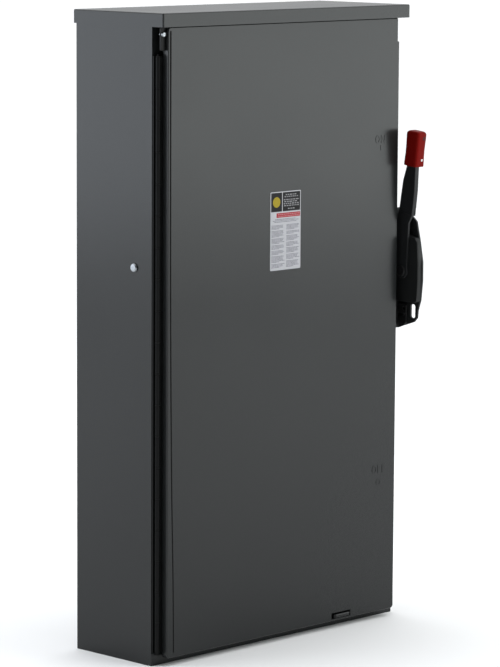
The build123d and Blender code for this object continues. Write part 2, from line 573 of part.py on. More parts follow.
# ---- operating mechanism --------------------------------------------------
FRAME_OUT_X = (INNER - 3, INNER)
FRAME_IN_X = (272.0, 275.0)
FRAME_Y = (-206.0, -60.0)
FRAME_Z = (20.0, 200.0)
with BuildPart() as shaft_bush:
    rod_x(SHAFT_Y, PIVOT_Z, BUSH_R, (FRAME_OUT_X[0], HALF_W))
    rod_x(SHAFT_Y, PIVOT_Z, BUSH_R + 3, (HALF_W, DISC_X[0] - 0.4))
    rod_x(SHAFT_Y, PIVOT_Z, SHAFT_R + RUNNING, (FRAME_OUT_X[0] - 1, DISC_X[0]), Mode.SUBTRACT)
save(shaft_bush, "shaft_bush")

SPRING_POST = (-120.0, PIVOT_Z)
with BuildPart() as mechanism_frame:
    rod_x(SPRING_POST[0], SPRING_POST[1], 9.0, (FRAME_IN_X[1], FRAME_OUT_X[0]))
    block(FRAME_OUT_X, FRAME_Y, FRAME_Z)
    block(FRAME_IN_X, FRAME_Y, FRAME_Z)
    block((FRAME_IN_X[0], FRAME_OUT_X[1]), (FRAME_Y[1], FRAME_Y[1] + 3), FRAME_Z)
    rod_x(SHAFT_Y, PIVOT_Z, BUSH_R, (FRAME_OUT_X[0] - 1, FRAME_OUT_X[1]), Mode.SUBTRACT)
    rod_x(SHAFT_Y, PIVOT_Z, SHAFT_R + RUNNING, (FRAME_IN_X[0] - 1, FRAME_IN_X[1] + 1), Mode.SUBTRACT)
save(mechanism_frame, "mechanism_frame")

with BuildPart() as drive_springs:
    for x in (285.0, 322.0):
        for k in range(4):
            rod_x(SPRING_POST[0], SPRING_POST[1], 14.0, (x + 4 * k, x + 4 * k + 3.4))
        rod_x(SPRING_POST[0], SPRING_POST[1], 10.5, (x, x + 15.4))
        rod_x(SPRING_POST[0], SPRING_POST[1], 9.0, (x - 1, x + 17), Mode.SUBTRACT)
save(drive_springs, "drive_springs")

CAM_X = (264.0, 269.0)
CAM_OUTLINE = [(-11, -11), (11, -11), (16, 8), (6, 24), (-6, 24), (-16, 8)]
with BuildPart() as operating_shaft:
    rod_x(SHAFT_Y, PIVOT_Z, SHAFT_R, (CAM_X[1], DISC_X[0]))
    crank_arm(SHAFT_Y)
save(operating_shaft, "operating_shaft")

with BuildPart() as drive_cam:
    side_profile([(SHAFT_Y + y, PIVOT_Z + z) for y, z in CAM_OUTLINE], CAM_X)
    fillet(drive_cam.edges().filter_by(Axis.X), 4.0)
save(drive_cam, "drive_cam")

# ---- knife switch ---------------------------------------------------------
PAN_Y = (PAN_FRONT, PAN_FRONT + PAN_T)
BASE_FRONT = -54.0                # front of the moulded insulating bases
BUS_Y = (BASE_FRONT - 6, BASE_FRONT)
BUS_HALF = 16.0
CONTACT_GAP = 0.3
EDGE_X = (POLES[0] - 68, POLES[-1] + 68)
PAN_X = (EDGE_X[0] - 14, EDGE_X[1] + 34)
PAN_Z = (-300.0, 450.0)
with BuildPart() as mounting_pan:
    block(PAN_X, PAN_Y, PAN_Z)
    for z in PAN_Z:
        inward = 1 if z < 0 else -1
        block(PAN_X, (PAN_Y[0] - 8, PAN_Y[0]), (z, z + inward * PAN_T))
save(mounting_pan, "mounting_pan")

with BuildPart() as pan_standoffs:
    for x in (PAN_X[0] + 25, PAN_X[1] - 25):
        for z in (PAN_Z[0] + 40, 75, PAN_Z[1] - 40):
            rod_y(x, z, 9.0, (PAN_Y[1], BACK - SHEET))
save(pan_standoffs, "pan_standoffs")

LINE_Z = (226.0, 430.0)
LOAD_Z = (-282.0, -152.0)
with BuildPart() as line_base:
    block(EDGE_X, (BASE_FRONT, PAN_FRONT), LINE_Z)
save(line_base, "line_base")

with BuildPart() as blade_base:
    block(EDGE_X, (BASE_FRONT, PAN_FRONT), (44, 190))
save(blade_base, "blade_base")

with BuildPart() as fuse_bases:
    block(EDGE_X, (BASE_FRONT, PAN_FRONT), (-40, 40))
    block(EDGE_X, (BASE_FRONT, PAN_FRONT), LOAD_Z)
save(fuse_bases, "fuse_bases")

WALLS = [EDGE_X[0], POLES[0] + POLE_STEP / 2 - 2, POLES[1] + POLE_STEP / 2 - 2, EDGE_X[1] - 4]
BARRIER_Y = (-131.0, BASE_FRONT)
with BuildPart() as phase_barriers:
    for x in WALLS:
        block((x, x + 4), BARRIER_Y, LINE_Z)
save(phase_barriers, "phase_barriers")

with BuildPart() as line_shield:
    block(EDGE_X, (BARRIER_Y[0] - 3, BARRIER_Y[0]), (LINE_Z[0] + 50, LINE_Z[1]))
    for x in POLES:
        rod_y(x, 384, 9.0, (BARRIER_Y[0] - 4, BARRIER_Y[0] + 1), Mode.SUBTRACT)
save(line_shield, "line_shield")

JAW_Y = (-98.0, BUS_Y[0])
LEAF_IN = BLADE_T / 2 + CONTACT_GAP


def leaf_pair(x, inner, thickness, y, z):
    """Two upright contact leaves, one each side of the middle x."""
    block((x - inner - thickness, x - inner), y, z)
    block((x + inner, x + inner + thickness), y, z)


LUG_Y = (-94.0, BUS_Y[0])
LUG_MID = -79.0
LUG_BORE = 10.5
LUG_LINE_Z = (362.0, 402.0)
LUG_LOAD_Z = (-262.0, -222.0)
with BuildPart() as line_jaws:
    for x in POLES:
        block((x - BUS_HALF, x + BUS_HALF), BUS_Y, (236, 402))
        leaf_pair(x, LEAF_IN, 3.0, JAW_Y, (242, 276))
save(line_jaws, "line_jaws")

with BuildPart() as arc_chutes:
    for x in POLES:
        block((x - 26, x + 26), (-118, BUS_Y[0]), (282, 344))
        for k in range(6):
            block((x - 21, x + 21), (-119, -70), (286 + 10 * k, 290.5 + 10 * k), Mode.SUBTRACT)
save(arc_chutes, "arc_chutes")

LUG_SCREW_R = 6.0


def lug_row(z):
    """Three lug blocks with a vertical cable bore and a tapped screw hole."""
    for x in POLES:
        block((x - BUS_HALF, x + BUS_HALF), LUG_Y, z)
        rod_z(x, LUG_MID, LUG_BORE, (z[0] - 1, z[1] + 1), Mode.SUBTRACT)
        rod_y(x, (z[0] + z[1]) / 2, LUG_SCREW_R, (LUG_Y[0] - 1, LUG_MID), Mode.SUBTRACT)


def lug_screw_row(z):
    """The three socket set screws of a lug row."""
    for x in POLES:
        rod_y(x, (z[0] + z[1]) / 2, LUG_SCREW_R, (LUG_Y[0] - 6, LUG_MID - LUG_BORE - 1.0))
        hex_y(x, (z[0] + z[1]) / 2, 6.0, (LUG_Y[0] - 7, LUG_Y[0] - 2), Mode.SUBTRACT)


with BuildPart() as cable_lugs:
    lug_row(LUG_LINE_Z)
    lug_row(LUG_LOAD_Z)
save(cable_lugs, "cable_lugs")

with BuildPart() as cable_lug_screws:
    lug_screw_row(LUG_LINE_Z)
    lug_screw_row(LUG_LOAD_Z)
save(cable_lug_screws, "cable_lug_screws")

BLADE_PIN_R = 4.0
with BuildPart() as blade_hinges:
    for x in POLES:
        block((x - BUS_HALF, x + BUS_HALF), BUS_Y, (44, 168))
        leaf_pair(x, LEAF_IN, 4.0, (AXIS_Y, BUS_Y[0]), (AXIS_Z - 14, AXIS_Z + 14))
        for side in (-1, 1):
            ear = (x + side * LEAF_IN, x + side * (LEAF_IN + 4))
            rod_x(AXIS_Y, AXIS_Z, 14.0, (min(ear), max(ear)))
        rod_x(AXIS_Y, AXIS_Z, BLADE_PIN_R + RUNNING, (x - 12, x + 12), Mode.SUBTRACT)
save(blade_hinges, "blade_hinges")

with BuildPart() as switch_blades:
    for x in POLES:
        thick = (x - BLADE_T / 2, x + BLADE_T / 2)
        block(thick, (AXIS_Y - 11, AXIS_Y + 11), (AXIS_Z, AXIS_Z + BLADE_R - 2))
        rod_x(AXIS_Y, AXIS_Z, 11.0, thick)
        rod_x(AXIS_Y, AXIS_Z, BLADE_PIN_R, (x - BLADE_T / 2 - 1, x + BLADE_T / 2 + 1), Mode.SUBTRACT)
save(switch_blades, "switch_blades")

with BuildPart() as blade_pins:
    for x in POLES:
        rod_x(AXIS_Y, AXIS_Z, BLADE_PIN_R, (x - 9.5, x + 9.5))
save(blade_pins, "blade_pins")

BAR_Y = (AXIS_Y - 37, AXIS_Y - 17)
BAR_Z = (AXIS_Z + 52, AXIS_Z + 72)
ARM_X = [(EDGE_X[0] + 5, EDGE_X[0] + 10), (EDGE_X[1] - 10, EDGE_X[1] - 5)]
BAR_END = CAM_X[0] - 3
with BuildPart() as crossbar:
    block((ARM_X[0][0], BAR_END), BAR_Y, BAR_Z)
    fillet(crossbar.edges().filter_by(Axis.X), 3.0)
save(crossbar, "crossbar")

with BuildPart() as blade_clamps:
    for x in POLES:
        block((x - 10, x + 10), (BAR_Y[1], AXIS_Y + 4), (BAR_Z[0] + 1, BAR_Z[1] - 1))
        blade = (AXIS_Y - 11, AXIS_Y + 5)
        block((x - BLADE_T / 2, x + BLADE_T / 2), blade, BAR_Z, Mode.SUBTRACT)
save(blade_clamps, "blade_clamps")

ARM_PIN_R = 6.0
with BuildPart() as crossbar_arms:
    for low, high in ARM_X:
        rod_x(AXIS_Y, AXIS_Z, 12.0, (low, high))
        side_profile([(AXIS_Y - 10, AXIS_Z), (AXIS_Y + 10, AXIS_Z), (BAR_Y[1] + 4, BAR_Z[1] + 4),
                      (BAR_Y[0] - 4, BAR_Z[1] + 4), (BAR_Y[0] - 4, BAR_Z[0] - 4)], (low, high))
        block((low - 1, high + 1), BAR_Y, BAR_Z, Mode.SUBTRACT)
    rod_x(AXIS_Y, AXIS_Z, ARM_PIN_R, (ARM_X[0][0] - 9, ARM_X[0][0]))
    rod_x(AXIS_Y, AXIS_Z, ARM_PIN_R, (ARM_X[1][1], ARM_X[1][1] + 9))
    low, high = BAR_END - 6, BAR_END
    for z in (BAR_Z[0] - 5, BAR_Z[1]):
        block((low, high), (BAR_Y[0] - 28, BAR_Y[1] + 2), (z, z + 5))
    block((low, high), (BAR_Y[1], BAR_Y[1] + 5), (BAR_Z[0] - 5, BAR_Z[1] + 5))
save(crossbar_arms, "crossbar_arms")

with BuildPart() as bearing_brackets:
    for side, (low, high) in zip((-1, 1), ARM_X):
        face = low if side < 0 else high
        near, far = face + side * 1.5, face + side * 6.5
        side_profile([(PAN_FRONT, AXIS_Z - 34), (PAN_FRONT, AXIS_Z + 34), (AXIS_Y - 12, AXIS_Z + 13),
                      (AXIS_Y - 12, AXIS_Z - 13)], (min(near, far), max(near, far)))
        foot = (face + side * 3, face + side * 30)
        block(foot, (PAN_FRONT - 3, PAN_FRONT), (AXIS_Z - 34, AXIS_Z + 34))
        through = (min(near, far) - 1, max(near, far) + 1)
        rod_x(AXIS_Y, AXIS_Z, ARM_PIN_R + RUNNING, through, Mode.SUBTRACT)
    block(EDGE_X, (PAN_FRONT - 30, PAN_FRONT + 1), (44, 190), Mode.SUBTRACT)
save(bearing_brackets, "bearing_brackets")

# ---- fuses ----------------------------------------------------------------
KNIFE_HALF = 3.0
KNIFE_L = 25.0
CLIP_Y = (-125.0, BUS_Y[0])
with BuildPart() as fuse_clips:
    for x in POLES:
        block((x - BUS_HALF, x + BUS_HALF), BUS_Y, (FUSE_HIGH + 2, 44))
        leaf_pair(x, KNIFE_HALF, 3.0, CLIP_Y, (FUSE_HIGH + 5, FUSE_HIGH + 23))
        block((x - BUS_HALF, x + BUS_HALF), BUS_Y, (LUG_LOAD_Z[0], FUSE_LOW - 2))
        leaf_pair(x, KNIFE_HALF, 3.0, CLIP_Y, (FUSE_LOW - 23, FUSE_LOW - 5))
save(fuse_clips, "fuse_clips")

with BuildPart() as fuse_tubes:
    for x in POLES:
        rod_z(x, FUSE_Y, FUSE_R, (FUSE_LOW, FUSE_HIGH))
save(fuse_tubes, "fuse_tubes")

CAP_L = 16.0
CAP_T = 1.6
with BuildPart() as fuse_ends:
    for x in POLES:
        for end, way in ((FUSE_LOW, 1), (FUSE_HIGH, -1)):
            rod_z(x, FUSE_Y, FUSE_R + CAP_T, (end - way * CAP_T, end + way * CAP_L))
            rod_z(x, FUSE_Y, FUSE_R, (end, end + way * (CAP_L + 1)), Mode.SUBTRACT)
            knife = (end - way * CAP_T, end - way * KNIFE_L)
            block((x - KNIFE_HALF, x + KNIFE_HALF), (FUSE_Y - 15, FUSE_Y + 15), knife)
save(fuse_ends, "fuse_ends")
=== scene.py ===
"""Looks for the outdoor disconnect box: materials, printed label, moulded pieces, light and camera.

Metres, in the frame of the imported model: the wall is Y = 0, the door looks along -Y, +Z is up.
"""

import json
import math
import random

import bmesh
import bpy
from mathutils import Matrix, Vector

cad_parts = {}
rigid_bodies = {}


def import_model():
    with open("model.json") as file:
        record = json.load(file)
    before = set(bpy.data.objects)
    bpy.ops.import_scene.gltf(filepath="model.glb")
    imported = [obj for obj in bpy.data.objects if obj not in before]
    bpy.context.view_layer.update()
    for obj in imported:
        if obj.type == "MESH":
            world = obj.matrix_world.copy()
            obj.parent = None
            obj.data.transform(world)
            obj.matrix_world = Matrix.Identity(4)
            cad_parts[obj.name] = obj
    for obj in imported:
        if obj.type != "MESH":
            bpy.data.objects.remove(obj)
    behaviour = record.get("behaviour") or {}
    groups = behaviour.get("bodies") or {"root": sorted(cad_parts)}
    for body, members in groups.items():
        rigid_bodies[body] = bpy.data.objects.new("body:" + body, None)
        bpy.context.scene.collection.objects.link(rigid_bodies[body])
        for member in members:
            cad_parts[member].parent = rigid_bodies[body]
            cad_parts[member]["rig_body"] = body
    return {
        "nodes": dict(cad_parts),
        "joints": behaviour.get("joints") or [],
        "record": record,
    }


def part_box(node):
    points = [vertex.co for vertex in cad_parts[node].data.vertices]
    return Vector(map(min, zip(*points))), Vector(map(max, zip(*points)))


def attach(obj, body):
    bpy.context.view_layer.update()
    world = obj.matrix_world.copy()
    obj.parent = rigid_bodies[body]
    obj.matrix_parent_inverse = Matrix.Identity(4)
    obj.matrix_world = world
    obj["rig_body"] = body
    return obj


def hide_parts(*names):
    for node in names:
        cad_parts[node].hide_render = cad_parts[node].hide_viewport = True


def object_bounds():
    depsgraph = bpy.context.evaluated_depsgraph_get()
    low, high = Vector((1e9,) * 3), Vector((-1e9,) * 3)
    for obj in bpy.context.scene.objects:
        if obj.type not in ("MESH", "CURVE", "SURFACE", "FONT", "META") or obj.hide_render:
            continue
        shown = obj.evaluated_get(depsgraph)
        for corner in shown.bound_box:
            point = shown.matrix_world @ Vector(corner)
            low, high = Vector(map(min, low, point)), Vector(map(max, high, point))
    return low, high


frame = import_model()
CAD_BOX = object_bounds()
FLOOR_Z = CAD_BOX[0].z
MM = 0.001

# ---- camera, floor and light ----------------------------------------------
CAMERA_AT = (-4.7662, -4.8023, 0.9087)
CAMERA_AIM = (0.0169, -0.125, -0.0240)
CAMERA_ROLL = math.radians(0.334)
CAMERA_LENS = 179.31
CAMERA_SENSOR = 36.0
CAMERA_CLIP = 200.0

FLOOR_REACH = 60.0
FLOOR_TONE = 0.87

# Radiance of the surroundings, as ramps that are multiplied together. Each row holds an axis, where
# the ramp starts and ends along that axis, and its values at the two ends.
WORLD_RAMPS = (
    ((0, 0, 1), 0.0, 1.0, 0.60, 2.05),
    ((0.70, 0.70, 0.14), -0.6, 0.05, 0.08, 1.0),
)
WORLD_TINT = (0.97, 0.985, 1.0, 1)

SOFTBOX_OUT = 5.0                 # from the origin to each softbox, seen from above
SOFTBOX = (6.0, 3.0)              # width and height
SOFTBOX_FOOT = -0.35              # height of their lower edges
SOFTBOXES = (                     # name, side (1 is right front, -1 is left back), watts, tint
    ("softbox_right", 1, 146, (0.95, 1.0, 0.99)),
    ("softbox_left", -1, 148, (0.90, 0.97, 1.06)),
)
KEY_AT = (1.6, -3.0, 2.4)
KEY_AIM = (0.0, -0.2, 0.0)
KEY_SIZE = (1.6, 1.2)
KEY_POWER = 12


def make_camera():
    """The camera, level but for a slight roll, with no shift and no blur."""
    data = bpy.data.cameras.new("camera")
    data.lens = CAMERA_LENS
    data.sensor_width = CAMERA_SENSOR
    data.clip_end = CAMERA_CLIP
    camera = bpy.data.objects.new("camera", data)
    look = Vector(CAMERA_AIM) - Vector(CAMERA_AT)
    turn = look.to_track_quat("-Z", "Y").to_matrix().to_4x4()
    roll = Matrix.Rotation(CAMERA_ROLL, 4, "Z")
    camera.matrix_world = Matrix.Translation(CAMERA_AT) @ turn @ roll
    bpy.context.scene.collection.objects.link(camera)
    bpy.context.scene.camera = camera


def area_light(name, place, aim, size, power, colour=(1, 1, 1)):
    """A soft rectangular light of size (width, height) that faces the point aim."""
    data = bpy.data.lights.new(name, "AREA")
    data.shape = "RECTANGLE"
    data.size, data.size_y = size
    data.energy = power
    data.color = colour
    light = bpy.data.objects.new(name, data)
    light.location = place
    light.rotation_mode = "QUATERNION"
    light.rotation_quaternion = (Vector(aim) - Vector(place)).to_track_quat("-Z", "Y")
    light.visible_camera = False
    bpy.context.scene.collection.objects.link(light)


def make_world():
    """Pale surroundings: brighter overhead, darker on the viewer's side."""
    world = bpy.data.worlds.new("studio")
    world.use_nodes = True
    nodes, links = world.node_tree.nodes, world.node_tree.links
    where = nodes.new("ShaderNodeTexCoord").outputs["Generated"]
    strength = None
    for axis, start, end, low, high in WORLD_RAMPS:
        along = nodes.new("ShaderNodeVectorMath")
        along.operation = "DOT_PRODUCT"
        along.inputs[1].default_value = axis
        links.new(where, along.inputs[0])
        ramp = nodes.new("ShaderNodeMapRange")
        ramp.interpolation_type = "SMOOTHSTEP"
        ramp.inputs["From Min"].default_value = start
        ramp.inputs["From Max"].default_value = end
        ramp.inputs["To Min"].default_value = low
        ramp.inputs["To Max"].default_value = high
        links.new(along.outputs["Value"], ramp.inputs["Value"])
        if strength is None:
            strength = ramp.outputs["Result"]
        else:
            product = nodes.new("ShaderNodeMath")
            product.operation = "MULTIPLY"
            links.new(strength, product.inputs[0])
            links.new(ramp.outputs["Result"], product.inputs[1])
            strength = product.outputs["Value"]
    links.new(strength, nodes["Background"].inputs["Strength"])
    nodes["Background"].inputs["Color"].default_value = WORLD_TINT
    bpy.context.scene.world = world


def make_floor():
    """A wide pale floor under the bottom of the box."""
    mesh = bpy.data.meshes.new("floor")
    corners = [(x * FLOOR_REACH, y * FLOOR_REACH, 0) for x, y in ((-1, -1), (1, -1), (1, 1), (-1, 1))]
    mesh.from_pydata(corners, [], [(0, 1, 2, 3)])
    floor = bpy.data.objects.new("floor", mesh)
    floor.location = (0, 0, FLOOR_Z)
    bpy.context.scene.collection.objects.link(floor)
    material = bpy.data.materials.new("floor_paper")
    material.use_nodes = True
    shader = material.node_tree.nodes["Principled BSDF"]
    shader.inputs["Base Color"].default_value = (FLOOR_TONE, FLOOR_TONE, FLOOR_TONE, 1)
    shader.inputs["Roughness"].default_value = 0.9
    shader.inputs["Specular IOR Level"].default_value = 0.1
    mesh.materials.append(material)


def make_lights():
    """Two large softboxes on opposite sides of the box, and a small key light high in front."""
    for name, side, power, tint in SOFTBOXES:
        out = Vector((1, -1, 0)).normalized() * SOFTBOX_OUT * side
        centre = out + Vector((0, 0, SOFTBOX_FOOT + SOFTBOX[1] / 2))
        area_light(name, centre, (0, 0, centre.z), SOFTBOX, power, tint)
    area_light("key", KEY_AT, KEY_AIM, KEY_SIZE, KEY_POWER)


# ---- materials ------------------------------------------------------------
class Look:
    """A material's node tree, with short calls for the nodes used here.

    Textures are laid out in object space, which is the frame of the model in metres.
    """

    def __init__(self, name, **sockets):
        self.material = bpy.data.materials.new(name)
        self.material.use_nodes = True
        self.tree = self.material.node_tree
        self.shader = self.tree.nodes["Principled BSDF"]
        self.where = self.node("ShaderNodeTexCoord").outputs["Object"]
        for socket, value in sockets.items():
            self.shader.inputs[socket.replace("_", " ")].default_value = value

    def node(self, kind):
        return self.tree.nodes.new(kind)

    def feed(self, source, target):
        self.tree.links.new(source, target)

    def stretched(self, scale):
        """Object coordinates scaled apart along the three axes."""
        mapping = self.node("ShaderNodeMapping")
        mapping.inputs["Scale"].default_value = scale
        self.feed(self.where, mapping.inputs["Vector"])
        return mapping.outputs["Vector"]

    def noise(self, scale, detail=3.0, stretch=None):
        """Fractal noise, from 0 to 1, with scale features to the metre."""
        noise = self.node("ShaderNodeTexNoise")
        noise.inputs["Scale"].default_value = scale
        noise.inputs["Detail"].default_value = detail
        self.feed(self.stretched(stretch) if stretch else self.where, noise.inputs["Vector"])
        return noise.outputs["Fac"]

    def cells(self, scale):
        """Distance to the nearest of scattered points, scale of them to the metre."""
        cells = self.node("ShaderNodeTexVoronoi")
        cells.inputs["Scale"].default_value = scale
        self.feed(self.where, cells.inputs["Vector"])
        return cells.outputs["Distance"]

    def span(self, value, low, high, start=0.3, end=0.7):
        """value between start and end, spread out from low to high."""
        span = self.node("ShaderNodeMapRange")
        span.interpolation_type = "SMOOTHSTEP"
        span.inputs["From Min"].default_value = start
        span.inputs["From Max"].default_value = end
        span.inputs["To Min"].default_value = low
        span.inputs["To Max"].default_value = high
        self.feed(value, span.inputs["Value"])
        return span.outputs["Result"]

    def blend(self, factor, first, second):
        """Two colours, each a tuple or another node's output, mixed by a factor."""
        mix = self.node("ShaderNodeMix")
        mix.data_type = "RGBA"
        self.feed(factor, mix.inputs["Factor"])
        for socket, colour in (("A", first), ("B", second)):
            target = next(s for s in mix.inputs if s.name == socket and s.type == "RGBA")
            if isinstance(colour, tuple):
                target.default_value = (*colour, 1)
            else:
                self.feed(colour, target)
        return next(s for s in mix.outputs if s.type == "RGBA")

    def colour(self, source):
        self.feed(source, self.shader.inputs["Base Color"])

    def roughness(self, source):
        self.feed(source, self.shader.inputs["Roughness"])

    def bumps(self, *layers):
        """Bump layers, each (height, strength, depth in metres), one over the other."""
        normal = None
        for height, strength, depth in layers:
            bump = self.node("ShaderNodeBump")
            bump.inputs["Strength"].default_value = strength
            bump.inputs["Distance"].default_value = depth
            self.feed(height, bump.inputs["Height"])
            if normal:
                self.feed(normal, bump.inputs["Normal"])
            normal = bump.outputs["Normal"]
        self.feed(normal, self.shader.inputs["Normal"])


def shade(colour, factor):
    """A colour made lighter or darker."""
    return tuple(c * factor for c in colour)


def enamel(name, colour, gloss, level):
    """Sprayed enamel: cloudy tone, sparse pale specks and fine orange peel."""
    look = Look(name, Specular_IOR_Level=level)
    clouds = look.noise(2.2, detail=1)
    cloudy = look.span(clouds, 0, 1, start=0.2, end=0.8)
    tone = look.blend(cloudy, shade(colour, 0.94), shade(colour, 1.06))
    specks = look.span(look.noise(900, detail=1), 0, 1, start=0.60, end=0.75)
    look.colour(look.blend(specks, tone, shade(colour, 1.35)))
    sheen = look.noise(5, detail=2)
    look.roughness(look.span(sheen, gloss - 0.02, gloss + 0.02, start=0.2, end=0.8))
    coarse, fine = look.noise(240, detail=1), look.noise(650, detail=2)
    look.bumps((coarse, 0.45, 0.12 * MM), (fine, 0.25, 0.05 * MM))
    return look.material


def moulding(name, colour, gloss, level):
    """Moulded plastic with a fine spark-eroded grain and slight flow marks."""
    look = Look(name, Specular_IOR_Level=level)
    flow = look.noise(14, detail=4, stretch=(1, 1, 0.35))
    look.colour(look.blend(look.span(flow, 0, 1), shade(colour, 0.86), shade(colour, 1.14)))
    look.roughness(look.span(look.noise(60, detail=4), gloss - 0.05, gloss + 0.07))
    look.bumps((look.noise(1400, detail=2), 0.35, 0.06 * MM))
    return look.material


def plated(name, colour, gloss, stretch=(1, 1, 6)):
    """Plated metal with rolling marks and a mottled, slightly dulled coat."""
    look = Look(name, Metallic=1.0)
    mottle = look.noise(55, detail=5)
    tone = look.blend(look.span(mottle, 0, 1), shade(colour, 0.80), colour)
    stain = look.span(look.noise(8, detail=3), 0, 0.5, start=0.5, end=0.75)
    look.colour(look.blend(stain, tone, shade(colour, 0.66)))
    drawn = look.noise(420, detail=3, stretch=stretch)
    look.roughness(look.span(drawn, gloss - 0.07, gloss + 0.12))
    look.bumps((drawn, 0.12, 0.05 * MM))
    return look.material


def foam(name, colour):
    """Closed-cell rubber foam."""
    look = Look(name, Specular_IOR_Level=0.25, Sheen_Weight=0.1)
    cells = look.cells(900)
    walls = look.span(cells, 0, 1, start=0.1, end=0.7)
    look.colour(look.blend(walls, shade(colour, 1.5), shade(colour, 0.6)))
    look.roughness(look.span(look.noise(40, detail=3), 0.75, 0.95))
    look.bumps((cells, 0.6, 0.3 * MM))
    return look.material


def polyester(name, colour):
    """Glass-filled moulding compound: short pale fibres in a dull resin."""
    look = Look(name, Specular_IOR_Level=0.4)
    mottle = look.noise(30, detail=6)
    tone = look.blend(look.span(mottle, 0, 1), shade(colour, 0.78), shade(colour, 1.18))
    strands = look.noise(700, detail=2, stretch=(1, 0.25, 0.12))
    fibres = look.span(strands, 0, 0.45, start=0.62, end=0.72)
    look.colour(look.blend(fibres, tone, (0.42, 0.26, 0.20)))
    look.roughness(look.span(mottle, 0.42, 0.6))
    look.bumps((look.noise(500, detail=4), 0.25, 0.1 * MM))
    return look.material


def fibre_board(name, colour):
    """Pressed dark fibre with a layered edge."""
    look = Look(name, Specular_IOR_Level=0.3)
    layers = look.noise(900, detail=2, stretch=(0.1, 0.1, 1))
    look.colour(look.blend(look.span(layers, 0, 1), shade(colour, 0.7), shade(colour, 1.3)))
    look.roughness(look.span(look.noise(120, detail=3), 0.6, 0.85))
    look.bumps((layers, 0.3, 0.1 * MM))
    return look.material


def clear_sheet(name):
    """Clear polycarbonate with faint wiping marks."""
    look = Look(name, Base_Color=(0.96, 0.985, 1.0, 1), Transmission_Weight=1.0, IOR=1.585)
    wipes = look.noise(30, detail=6, stretch=(1, 1, 0.2))
    look.roughness(look.span(wipes, 0.03, 0.12))
    look.bumps((wipes, 0.05, 0.1 * MM))
    return look.material


def wound_tube(name, colour):
    """Fuse tube wound from glass cloth under a thin pale varnish."""
    look = Look(name, Coat_Weight=0.35, Coat_Roughness=0.2)
    threads = look.noise(800, detail=1, stretch=(0.15, 0.15, 1))
    look.colour(look.blend(look.span(threads, 0, 1), shade(colour, 0.86), shade(colour, 1.06)))
    look.roughness(look.span(look.noise(70, detail=3), 0.38, 0.55))
    look.bumps((threads, 0.35, 0.12 * MM))
    return look.material


def film(name, colour):
    """Vinyl film, almost flat, with a faint paper tooth."""
    look = Look(name, Specular_IOR_Level=0.5)
    tooth = look.span(look.noise(120, detail=3), 0, 1)
    look.colour(look.blend(tooth, shade(colour, 0.95), colour))
    look.roughness(look.span(look.noise(200, detail=2), 0.34, 0.44))
    look.bumps((look.noise(90, detail=2), 0.1, 0.05 * MM))
    return look.material


def ink(name, colour, gloss=0.42):
    """Printing ink with an uneven, slightly broken cover."""
    look = Look(name, Specular_IOR_Level=0.10)
    cover = look.span(look.noise(900, detail=3), 0, 1)
    look.colour(look.blend(cover, shade(colour, 0.82), shade(colour, 1.12)))
    look.roughness(look.span(look.noise(150, detail=2), gloss - 0.05, gloss + 0.05))
    return look.material


def painted_shade_finish(name):
    """Near-black finish, smooth with slight ripples: the colour of the painted shade line on the door."""
    look = Look(name, Specular_IOR_Level=0.02)
    mottle = look.span(look.noise(300, detail=3), 0, 1)
    look.colour(look.blend(mottle, (0.003, 0.003, 0.003), (0.007, 0.007, 0.007)))
    look.roughness(look.span(look.noise(90, detail=2), 0.5, 0.7))
    look.bumps((look.noise(260, detail=2), 0.3, 0.2 * MM))
    return look.material


PAINT = (0.0116, 0.0128, 0.0130)
# The hinge enamel is darker than the box's grey: painted shade for the hinge parts, which sit in the
# shaded recess between door and body.
HINGE_PAINT_SHADED = (0.0045, 0.0048, 0.0048)
MATERIALS = {
    "enclosure_paint": enamel("grey_enamel", PAINT, 0.22, 0.28),
    "hinge_paint": enamel("hinge_enamel_with_painted_shade", HINGE_PAINT_SHADED, 0.36, 0.10),
    "blackened_steel": enamel("black_oxide", (0.008, 0.008, 0.0085), 0.42, 0.20),
    "zinc_steel": plated("zinc_plate", (0.66, 0.67, 0.68), 0.32),
    "spring_steel": plated("oiled_spring_steel", (0.26, 0.25, 0.24), 0.30, (8, 1, 1)),
    "black_steel": enamel("black_enamel", (0.013, 0.0138, 0.0145), 0.38, 0.16),
    "black_moulding": moulding("black_plastic", (0.0130, 0.0138, 0.0140), 0.42, 0.14),
    "red_moulding": moulding("red_plastic", (0.145, 0.004, 0.0025), 0.40, 0.03),
    "gasket_foam": foam("gasket_rubber", (0.018, 0.018, 0.018)),
    "label_film": film("white_film", (0.36, 0.36, 0.385)),
    "copper_plate": plated("tinned_copper", (0.78, 0.70, 0.62), 0.34),
    "lug_aluminium": plated("tinned_aluminium", (0.74, 0.75, 0.77), 0.40),
    "bush_bronze": plated("bearing_bronze", (0.60, 0.38, 0.17), 0.36, (1, 6, 6)),
    "insulator": polyester("red_brown_polyester", (0.16, 0.035, 0.022)),
    "arc_fibre": fibre_board("dark_fibre", (0.035, 0.032, 0.030)),
    "clear_sheet": clear_sheet("clear_polycarbonate"),
    "fuse_paper": wound_tube("wound_glass_tube", (0.62, 0.56, 0.42)),
}
# Darker copy of the zinc plate for the bonding bolt and the bracket screw, which face the bright softbox:
# painted shade that dims their reflection.
ZINC_WITH_PAINTED_SHADE = plated("zinc_darkened_against_softbox", (0.34, 0.36, 0.38), 0.38)
DIMMED_ZINC_NODES = ("bonding_bolt", "hinge_bracket_screw")


def dress_nodes():
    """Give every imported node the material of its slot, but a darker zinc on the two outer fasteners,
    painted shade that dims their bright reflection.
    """
    for row in frame["record"]["subparts"]:
        node = row["node"]
        finish = ZINC_WITH_PAINTED_SHADE if node in DIMMED_ZINC_NODES else MATERIALS[row["material_slot"]]
        materials = frame["nodes"][node].data.materials
        for index in range(len(materials)):
            materials[index] = finish


